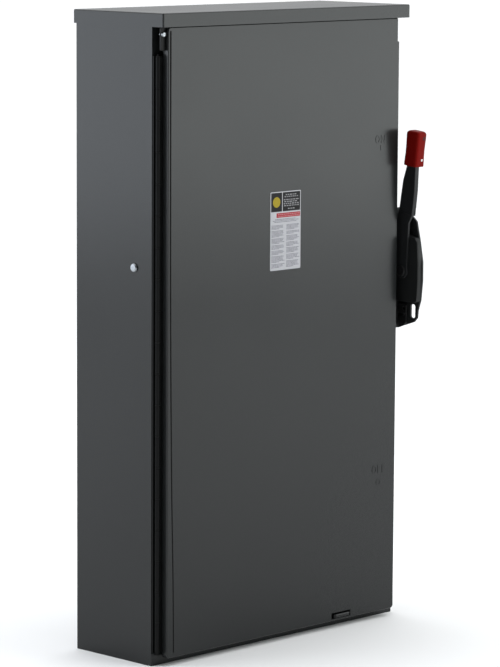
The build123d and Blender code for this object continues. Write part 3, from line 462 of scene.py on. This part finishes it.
def plain_object(name, mesh, material, body):
    """Link a mesh as a piece that rides on a body, with the material it is given."""
    for polygon in mesh.polygons:
        polygon.use_smooth = True
    mesh.materials.append(material)
    piece = bpy.data.objects.new(name, mesh)
    bpy.context.scene.collection.objects.link(piece)
    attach(piece, body)
    return piece


def even_shading(piece):
    """Shading that follows the large faces."""
    shading = piece.modifiers.new("even_shading", "WEIGHTED_NORMAL")
    shading.keep_sharp = False


def mesh_of(work, name):
    """The finished mesh of a bmesh, which is then freed."""
    bmesh.ops.recalc_face_normals(work, faces=work.faces)
    mesh = bpy.data.meshes.new(name)
    work.to_mesh(mesh)
    work.free()
    return mesh


# ---- rounded stand-ins for square-edged nodes -----------------------------
SLOT_OF = {row["node"]: row["material_slot"] for row in frame["record"]["subparts"]}
WELD = 0.001 * MM
COPLANAR = math.radians(0.2)
SHARP = math.radians(35)
ROOM = 2.4                        # least width of the faces beside a rounded edge, in radii
BEVEL_SEGMENTS = 2


def can_round(edge, radius):
    """Whether an edge is sharp, with faces beside it that are wide enough for the radius."""
    if len(edge.link_faces) != 2 or edge.calc_face_angle() < SHARP:
        return False
    length = edge.calc_length()
    return all(face.calc_area() > ROOM * radius * length for face in edge.link_faces)


def rounded(node, radius):
    """The node's own shape with its sharp edges rounded off; it stands for the node."""
    source = frame["nodes"][node]
    work = bmesh.new()
    work.from_mesh(source.data)
    bmesh.ops.remove_doubles(work, verts=work.verts, dist=WELD)
    bmesh.ops.dissolve_limit(work, angle_limit=COPLANAR, verts=work.verts, edges=work.edges)
    weight = work.edges.layers.float.new("bevel_weight_edge")
    for edge in work.edges:
        edge[weight] = float(can_round(edge, radius))
    slot = SLOT_OF[node]
    mesh = mesh_of(work, node + "_rounded")
    piece = plain_object(mesh.name, mesh, MATERIALS[slot], source["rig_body"])
    bevel = piece.modifiers.new("round_edges", "BEVEL")
    bevel.width = radius
    bevel.segments = BEVEL_SEGMENTS
    bevel.limit_method = "WEIGHT"
    bevel.use_clamp_overlap = False
    even_shading(piece)
    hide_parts(node)


# Radius of the rounding on each node, in millimetres.
EDGE_RADII = {
    "handle_base": 1.2, "handle_cover": 0.8, "handle_lever": 1.0, "lockout_slide": 0.5,
    "handle_base_screws": 0.3, "hasp_tab": 0.5, "hinge_top_bracket": 0.4, "interlock_hook": 0.4,
    "line_base": 1.5, "blade_base": 1.5, "fuse_bases": 1.5, "phase_barriers": 0.7, "arc_chutes": 0.6,
    "line_jaws": 0.5, "blade_hinges": 0.5, "switch_blades": 0.6, "blade_pins": 0.5, "blade_clamps": 0.8,
    "crossbar_arms": 0.5, "bearing_brackets": 0.4, "cable_lugs": 0.9, "cable_lug_screws": 0.3,
    "fuse_clips": 0.4, "fuse_ends": 0.5, "ground_bar": 0.5, "ground_lugs": 0.8, "ground_lug_screws": 0.25,
    "bonding_nut": 0.5, "mechanism_frame": 0.5, "drive_link": 0.4, "operating_shaft": 0.3,
    "drive_cam": 0.6, "pan_standoffs": 0.4, "door_stiffener": 0.6, "door_gasket": 1.8,
}


def round_nodes():
    """Stand a rounded copy in for every node that has a radius."""
    for node, radius in EDGE_RADII.items():
        rounded(node, radius * MM)


# ---- skinned and turned shapes --------------------------------------------
def add_skin(work, rings):
    """A skin over rings of equal length, closed at both ends, added to work."""
    rows = [[work.verts.new(point) for point in ring] for ring in rings]
    count = len(rows[0])
    for low, high in zip(rows, rows[1:]):
        for k in range(count):
            work.faces.new((low[k], low[(k + 1) % count], high[(k + 1) % count], high[k]))
    work.faces.new(rows[0][::-1])
    work.faces.new(rows[-1])


def skinned(name, rings):
    """A mesh skinned over rings of equal length."""
    work = bmesh.new()
    add_skin(work, rings)
    return mesh_of(work, name)


def add_turned(work, centre, axis, profile, count=32):
    """A turned shape added to work: rings of (radius, distance along axis) from the centre."""
    axis = Vector(axis).normalized()
    side = axis.orthogonal().normalized()
    other = axis.cross(side)
    rings = []
    for radius, along in profile:
        ring = []
        for k in range(count):
            turn = 2 * math.pi * k / count
            out = side * math.cos(turn) + other * math.sin(turn)
            ring.append(Vector(centre) + out * radius + axis * along)
        rings.append(ring)
    add_skin(work, rings)


# ---- grip -----------------------------------------------------------------
LEAN = math.radians(6.3)          # of the lever, forward from upright
GRIP_FROM = 221 * MM              # foot and top of the grip, along the lever from the pivot
GRIP_TO = 294 * MM
GRIP_HALF = (14.5 * MM, 17.5 * MM)
GRIP_TOP_R = 7 * MM
GRIP_FOOT_R = 1.2 * MM
GRIP_WAIST = 0.7 * MM
GRIP_MID_X = 351 * MM
GRIP_SQUARENESS = 5.5             # power of the superellipse
GRIP_SIDES = 48
FOOT_STEPS = 3
WAIST_STEPS = 10
TOP_STEPS = 8


def joint_place(name):
    """Where a joint sits, in the frame of the model."""
    return Vector(next(j["pos_m"] for j in frame["joints"] if j["name"] == name))


def along_lever(across, forward, along):
    """A point given across the lever, forward of it and along it from the pivot."""
    pivot = joint_place("handle_pivot")
    y = pivot.y - along * math.sin(LEAN) - forward * math.cos(LEAN)
    z = pivot.z + along * math.cos(LEAN) - forward * math.sin(LEAN)
    return Vector((GRIP_MID_X + across, y, z))


def superellipse(half_x, half_y):
    """Points round the outline of the grip, a rounded rectangle."""
    power = 2 / GRIP_SQUARENESS
    points = []
    for k in range(GRIP_SIDES):
        turn = 2 * math.pi * (k + 0.5) / GRIP_SIDES
        c, s = math.cos(turn), math.sin(turn)
        x = half_x * math.copysign(abs(c) ** power, c)
        y = half_y * math.copysign(abs(s) ** power, s)
        points.append((x, y))
    return points


def grip_stations():
    """(distance along the lever, inset of the outline) from the grip's foot to its top."""
    stations = []
    for k in range(FOOT_STEPS + 1):
        turn = math.pi / 2 * k / FOOT_STEPS
        inset = GRIP_FOOT_R * (1 - math.sin(turn))
        stations.append((GRIP_FROM + GRIP_FOOT_R * (1 - math.cos(turn)), inset))
    straight = GRIP_TO - GRIP_TOP_R - GRIP_FROM - GRIP_FOOT_R
    for k in range(1, WAIST_STEPS):
        share = k / WAIST_STEPS
        inset = GRIP_WAIST * math.sin(math.pi * share) ** 2
        stations.append((GRIP_FROM + GRIP_FOOT_R + straight * share, inset))
    for k in range(TOP_STEPS + 1):
        turn = math.pi / 2 * k / TOP_STEPS
        inset = GRIP_TOP_R * (1 - math.cos(turn))
        stations.append((GRIP_TO - GRIP_TOP_R + GRIP_TOP_R * math.sin(turn), inset))
    return stations


def make_grip():
    """Moulded grip: rounded top, slight waist, small rounding at the foot."""
    rings = []
    for along, inset in grip_stations():
        outline = superellipse(GRIP_HALF[0] - inset, GRIP_HALF[1] - inset)
        rings.append([along_lever(x, y, along) for x, y in outline])
    slot = "red_moulding"
    grip = plain_object("lever_grip", skinned("lever_grip", rings), MATERIALS[slot], "handle")
    even_shading(grip)
    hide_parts("handle_grip")


# ---- screws ---------------------------------------------------------------
HEAD_RIM = 0.35                   # straight rim of a pan head, as a share of its height
HEAD_INSET = 0.35                 # how far its dome pulls in, as a share of its radius
DOME_STEPS = 5
RECESS_R = 0.42                   # radius of its driving recess, as a share of the head's
RECESS_FLOOR = 0.35               # height of the recess's floor, as a share of the head's

GRIP_SCREW_SINK = 0.6 * MM        # from the grip's front to the seat of a screw
GRIP_SCREW_IN = 14 * MM           # from the end of the grip to a screw
GRIP_SCREWS = (                   # name, across the lever, along it, head radius and height, slot
    ("grip_screw_lower", 4 * MM, GRIP_FROM + GRIP_SCREW_IN, 2.6 * MM, 0.8 * MM, "zinc_steel"),
    ("grip_screw_upper", 5 * MM, GRIP_TO - GRIP_SCREW_IN, 3.6 * MM, 0.9 * MM, "blackened_steel"),
)

BASE_SCREW_R = 5 * MM
BASE_SCREW_HEIGHT = 3.2 * MM
BASE_SCREW_IN_X = 8 * MM          # from the sides of a moulded base
BASE_SCREW_IN_Z = 10 * MM         # from its top and its foot
FUSE_ROW_DOWN = 70 * MM           # second row on the fuse bases, from their top
FUSE_ROW_UP = 120 * MM            # and the one from their foot


def screw_profile(radius, height):
    """Pan head with a round driving recess: (radius, height) steps from the seat inwards."""
    steps = [(radius, 0.0), (radius, height * HEAD_RIM)]
    for k in range(1, DOME_STEPS + 1):
        turn = math.pi / 2 * k / DOME_STEPS
        inset = radius * HEAD_INSET * (1 - math.cos(turn))
        rise = height * (HEAD_RIM + (1 - HEAD_RIM) * math.sin(turn))
        steps.append((radius - inset, rise))
    recess = radius * RECESS_R
    steps += [(recess, height), (recess, height * RECESS_FLOOR)]
    return steps


def screws(name, places, axis, radius, height, body, slot):
    """A row of pan-head screws at places, each standing out along axis."""
    work = bmesh.new()
    for place in places:
        add_turned(work, place, axis, screw_profile(radius, height))
    piece = plain_object(name, mesh_of(work, name), MATERIALS[slot], body)
    even_shading(piece)
    return piece


def make_grip_screws():
    """Two screws through the front of the grip into the lever's tang."""
    front = GRIP_HALF[1] - GRIP_SCREW_SINK
    forward = along_lever(0, 1, 0) - along_lever(0, 0, 0)
    for name, across, along, radius, height, slot in GRIP_SCREWS:
        place = along_lever(across, front, along)
        screw = screws(name, [place], forward, radius, height, "handle", slot)
        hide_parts("grip_screws")


def base_places(low, high, rows):
    """Places on the front of a base: near both of its sides, at the heights in rows."""
    columns = (low.x + BASE_SCREW_IN_X, high.x - BASE_SCREW_IN_X)
    return [(x, low.y, z) for x in columns for z in rows]


def make_base_screws():
    """Screws that hold the moulded bases to the mounting pan."""
    places = []
    for node in ("line_base", "blade_base"):
        low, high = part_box(node)
        places += base_places(low, high, (low.z + BASE_SCREW_IN_Z, high.z - BASE_SCREW_IN_Z))
    low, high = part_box("fuse_bases")
    from_top = (high.z - BASE_SCREW_IN_Z, high.z - FUSE_ROW_DOWN)
    from_foot = (low.z + BASE_SCREW_IN_Z, low.z + FUSE_ROW_UP)
    places += base_places(low, high, from_top + from_foot)
    screws("base_screws", places, (0, -1, 0), BASE_SCREW_R, BASE_SCREW_HEIGHT, "enclosure", "zinc_steel")


# ---- springs --------------------------------------------------------------
SPRING_TURNS = 4.5
SPRING_LENGTH = 15.4 * MM
STEPS_PER_TURN = 28
WIRE_R = 1.9 * MM
WIRE_SIDES = 10


def make_springs():
    """Two helical springs round the post of the mechanism frame."""
    low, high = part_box("drive_springs")
    centre_y, centre_z = (low.y + high.y) / 2, (low.z + high.z) / 2
    coil_r = (high.z - low.z) / 2 - WIRE_R
    steps = int(SPRING_TURNS * STEPS_PER_TURN)
    slot = "spring_steel"
    for number, start in enumerate((low.x, high.x - SPRING_LENGTH), 1):
        rings = []
        for k in range(steps + 1):
            turn = 2 * math.pi * SPRING_TURNS * k / steps
            x = start + WIRE_R + (SPRING_LENGTH - 2 * WIRE_R) * k / steps
            out = Vector((0, math.cos(turn), math.sin(turn)))
            middle = Vector((x, centre_y, centre_z)) + out * coil_r
            ring = []
            for j in range(WIRE_SIDES):
                angle = 2 * math.pi * j / WIRE_SIDES
                sideways = Vector((WIRE_R * math.sin(angle), 0, 0))
                ring.append(middle + out * WIRE_R * math.cos(angle) + sideways)
            rings.append(ring)
        mesh = skinned(f"drive_spring_{number}", rings)
        spring = plain_object(mesh.name, mesh, MATERIALS[slot], "enclosure")
        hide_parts("drive_springs")


# ---- fuse labels ----------------------------------------------------------
POLE_STEP = 112 * MM
WRAP_STEPS = 32
PAPER_THICKNESS = 0.05 * MM
PAPER_RISE = 0.15 * MM            # the paper stands this far off the tube
PRINT_RISE = PAPER_RISE * 1.8     # and its print this far
PAPER_IN = 24 * MM                # from the ends of the tube
PAPER_REACH = 1.9                 # radians to each side of the front
BAND_REACH = 1.88
BAND_FROM = 20 * MM               # the green band, down from the paper's top
BAND_TO = 5 * MM
PRINT_LINES = (26, 31, 36, 45, 50, 55)    # millimetres down from the paper's top
PRINT_HEIGHT = 2 * MM
LONG_LINE = 0.75
SHORT_LINE = 0.45                 # every third line


def wrapped(name, z_low, z_high, reach, rise, colour):
    """A band round the front of each fuse tube, reach radians to each side of the middle."""
    low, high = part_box("fuse_tubes")
    radius = (high.y - low.y) / 2 + rise
    middle_x, middle_y = (low.x + high.x) / 2, (low.y + high.y) / 2
    work = bmesh.new()
    for x in (middle_x - POLE_STEP, middle_x, middle_x + POLE_STEP):
        rows = []
        for z in (z_low, z_high):
            row = []
            for k in range(WRAP_STEPS + 1):
                turn = reach * (2 * k / WRAP_STEPS - 1)
                place = (x + radius * math.sin(turn), middle_y - radius * math.cos(turn), z)
                row.append(work.verts.new(place))
            rows.append(row)
        for k in range(WRAP_STEPS):
            work.faces.new((rows[0][k], rows[0][k + 1], rows[1][k + 1], rows[1][k]))
    material = ink(name + "_paper", colour, 0.5)
    piece = plain_object(name, mesh_of(work, name), material, "enclosure")
    paper = piece.modifiers.new("paper", "SOLIDIFY")
    paper.thickness = PAPER_THICKNESS
    paper.offset = 0


def make_fuse_labels():
    """Paper labels on the fuses: pale ground, a green band and lines of small print."""
    low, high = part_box("fuse_tubes")
    foot, top = low.z + PAPER_IN, high.z - PAPER_IN
    wrapped("fuse_paper", foot, top, PAPER_REACH, PAPER_RISE, (0.58, 0.56, 0.48))
    wrapped("fuse_band", top - BAND_FROM, top - BAND_TO, BAND_REACH, PRINT_RISE, (0.03, 0.16, 0.07))
    for number, step in enumerate(PRINT_LINES, 1):
        z = top - step * MM
        reach = LONG_LINE if number % 3 else SHORT_LINE
        wrapped(f"fuse_print_{number}", z - PRINT_HEIGHT, z, reach, PRINT_RISE, (0.04, 0.04, 0.045))


# ---- printed label --------------------------------------------------------
INK = 0.04 * MM                   # thickness of a printed layer
BORDER = 1.8 * MM
HEADER = 38 * MM
EMBLEM_SHARE = 0.38               # of the label's width
EMBLEM_R = 10.5 * MM
EMBLEM_SIDES = 48
HEADER_MARGIN = 2.6 * BORDER
HEADER_TEXT = 2.2 * MM
HEADER_WORD = 8 * MM
HEADER_LINES = (                  # millimetres down from the header's top, share of its width
    (4, 0.75), (8, 0.9), (14, 1.0), (18, 0.92), (22, 1.0), (26, 0.96), (32, 0.45),
)
BAND_GAP = 3 * MM
BAND_HEIGHT = 9 * MM
BAND_START = 0.20                 # share of the label's width
BAND_TEXT_START = 0.24
BAND_TEXT = 1.8 * MM
BAND_LINES = (2.0, 5.6)           # millimetres down from the band's top
SMALL_WORD = 6 * MM               # longest word on the band and below it
TITLE_DROP = 13 * MM
TITLE_TEXT = 1.0 * MM
TITLE_PITCH = 2.6 * MM
TITLE_LINES = (0.7, 0.85, 0.75)   # shares of the label's width
COLUMN_DROP = 4 * MM
COLUMN_FOOT = 5 * MM
COLUMN_IN = 1.5 * MM
COLUMN_SPLIT = (0.47, 0.53)       # shares of the label's width
COLUMN_TEXT = 0.95 * MM
COLUMN_PITCH = 2.25 * MM
PARAGRAPH_GAP = 2.0 * MM
PARAGRAPH_LINES = (3, 6)
FULL_LINE = (0.85, 1)
LAST_LINE = 0.6
PRINT_SEED = 7
WORD_RANGE = 3                    # longest word over the shortest
WORD_GAP = 0.9                    # share of the text's height


def print_layer(name, bars, colour, layer, discs=()):
    """One ink of the label, on layer 1 or above: bars (x0, x1, z0, z1) and discs (x, z, radius)."""
    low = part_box("door_label")[0]
    front = low.y - INK * (layer - 1)
    work = bmesh.new()
    for x0, x1, z0, z1 in bars:
        corners = [(x0, z0), (x1, z0), (x1, z1), (x0, z1)]
        back = [work.verts.new((low.x + x, front, low.z + z)) for x, z in corners]
        face = [work.verts.new((low.x + x, front - INK, low.z + z)) for x, z in corners]
        work.faces.new(face)
        work.faces.new(back[::-1])
        for k in range(4):
            work.faces.new((back[k], back[(k + 1) % 4], face[(k + 1) % 4], face[k]))
    for x, z, radius in discs:
        centre = (low.x + x, front, low.z + z)
        add_turned(work, centre, (0, -1, 0), [(radius, 0), (radius, INK)], EMBLEM_SIDES)
    mesh = mesh_of(work, name)
    plain_object(name, mesh, ink(name + "_ink", colour), "door")
    for polygon in mesh.polygons:
        polygon.use_smooth = False


def words(rng, x0, x1, z, height, longest, fill=1.0):
    """Bars of random length that read as a line of small print."""
    bars, x = [], x0
    end = x0 + (x1 - x0) * fill
    while x < end - longest / WORD_RANGE:
        length = rng.uniform(longest / WORD_RANGE, longest)
        bars.append((x, min(x + length, end), z, z + height))
        x += length + height * WORD_GAP
    return bars


def column(rng, x0, x1, top):
    """Paragraphs of small print from top down to the foot of the label."""
    bars, z = [], top
    while z > COLUMN_FOOT:
        lines = rng.randint(*PARAGRAPH_LINES)
        for k in range(lines):
            if z > COLUMN_FOOT:
                fill = rng.uniform(*FULL_LINE) if k < lines - 1 else LAST_LINE
                bars += words(rng, x0, x1, z, COLUMN_TEXT, SMALL_WORD, fill)
            z -= COLUMN_PITCH
        z -= PARAGRAPH_GAP
    return bars


def make_label_print():
    """Generic artwork: dark header with a plain disc, a red band, lines of small print."""
    rng = random.Random(PRINT_SEED)
    low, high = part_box("door_label")
    width, height = high.x - low.x, high.z - low.z
    top = height - BORDER
    split = width * EMBLEM_SHARE
    header_low = top - HEADER
    black = [(BORDER, split, header_low, top), (split + BORDER, width - BORDER, header_low, top)]
    print_layer("label_header", black, (0.006, 0.006, 0.007), 1)
    centre = ((BORDER + split) / 2, header_low + HEADER / 2)
    print_layer("label_emblem", [], (0.30, 0.23, 0.012), 2, [(*centre, EMBLEM_R)])

    light = []
    left, right = split + HEADER_MARGIN, width - HEADER_MARGIN
    for step, fill in HEADER_LINES:
        shift = (right - left) * (1 - fill) / 2
        z = top - step * MM - HEADER_TEXT
        light += words(rng, left + shift, right - shift, z, HEADER_TEXT, HEADER_WORD)
    print_layer("label_header_lines", light, (0.22, 0.22, 0.23), 2)

    band_top = header_low - BAND_GAP
    band = [(width * BAND_START, width - BORDER, band_top - BAND_HEIGHT, band_top)]
    print_layer("label_band", band, (0.30, 0.012, 0.022), 1)
    on_band = []
    for step in BAND_LINES:
        z = band_top - step * MM - BAND_TEXT
        on_band += words(rng, width * BAND_TEXT_START, width - 2 * BORDER, z, BAND_TEXT, SMALL_WORD)
    print_layer("label_band_lines", on_band, (0.42, 0.20, 0.21), 2)

    grey = []
    z = band_top - TITLE_DROP
    for fill in TITLE_LINES:
        inset = width * (1 - fill) / 2
        grey += words(rng, inset, width - inset, z, TITLE_TEXT, SMALL_WORD)
        z -= TITLE_PITCH
    margin = BORDER + COLUMN_IN
    middle_left, middle_right = (width * share for share in COLUMN_SPLIT)
    for x0, x1 in ((margin, middle_left), (middle_right, width - margin)):
        grey += column(rng, x0, x1, z - COLUMN_DROP)
    print_layer("label_small_print", grey, (0.075, 0.075, 0.095), 1)


# ---- painted shade line on the door's hinge side --------------------------
SHADE_LINE = (                          # x and z of the painted shade line, in millimetres
    (-326.8, 604), (-326.6, 400), (-326.0, 150), (-324.4, -60),
    (-321.2, -290), (-317.0, -470), (-315.4, -612),
)
SHADE_LINE_Y = -244.9 * MM
SHADE_LINE_RISE = 0.55 * MM
SHADE_LINE_HALF = 2.1                   # half the painted line's width at the top, in millimetres
SHADE_LINE_NARROWING = 0.8              # and how much less it is at the bottom
SHADE_LINE_STEPS = 12
SHADE_LINE_ROUND_STEPS = 8


def catmull_rom(p, q, r, s, t):
    """One coordinate of the curve between q and r, with t from 0 to 1."""
    slope = (r - p) * t
    square = (2 * p - 5 * q + 4 * r - s) * t ** 2
    cube = (3 * q - p - 3 * r + s) * t ** 3
    return 0.5 * (2 * q + slope + square + cube)


def smooth_path(points, steps):
    """Points along a Catmull-Rom curve through the given (x, z) points."""
    padded = [points[0], *points, points[-1]]
    path = []
    for four in zip(padded, padded[1:], padded[2:], padded[3:]):
        for k in range(steps):
            path.append(tuple(catmull_rom(*values, k / steps) for values in zip(*four)))
    path.append(points[-1])
    return path


def make_painted_shade_line():
    """A thin near-black strip down the hinge side of the door, slimmer towards the bottom: painted shade
    where the door shows a dark line.
    """
    path = smooth_path(SHADE_LINE, SHADE_LINE_STEPS)
    rings = []
    for number, (x, z) in enumerate(path):
        half = (SHADE_LINE_HALF - SHADE_LINE_NARROWING * number / (len(path) - 1)) * MM
        ring = []
        for k in range(SHADE_LINE_ROUND_STEPS + 1):
            turn = math.pi * k / SHADE_LINE_ROUND_STEPS
            across, rise = half * math.cos(turn), SHADE_LINE_RISE * math.sin(turn)
            ring.append(Vector((x * MM - across, SHADE_LINE_Y - rise, z * MM)))
        rings.append(ring)
    mesh = skinned("painted_shade_line", rings)
    # painted shade: a near-black strip standing in for the dark line along the door's hinge side
    shade_line = plain_object("painted_shade_line", mesh, painted_shade_finish("painted_shade_black"), "door")
    even_shading(shade_line)


make_camera()
make_world()
make_floor()
make_lights()
dress_nodes()
round_nodes()
make_grip()
make_grip_screws()
make_base_screws()
make_springs()
make_fuse_labels()
make_label_print()
make_painted_shade_line()

scene = bpy.context.scene
scene.view_settings.view_transform = "Standard"
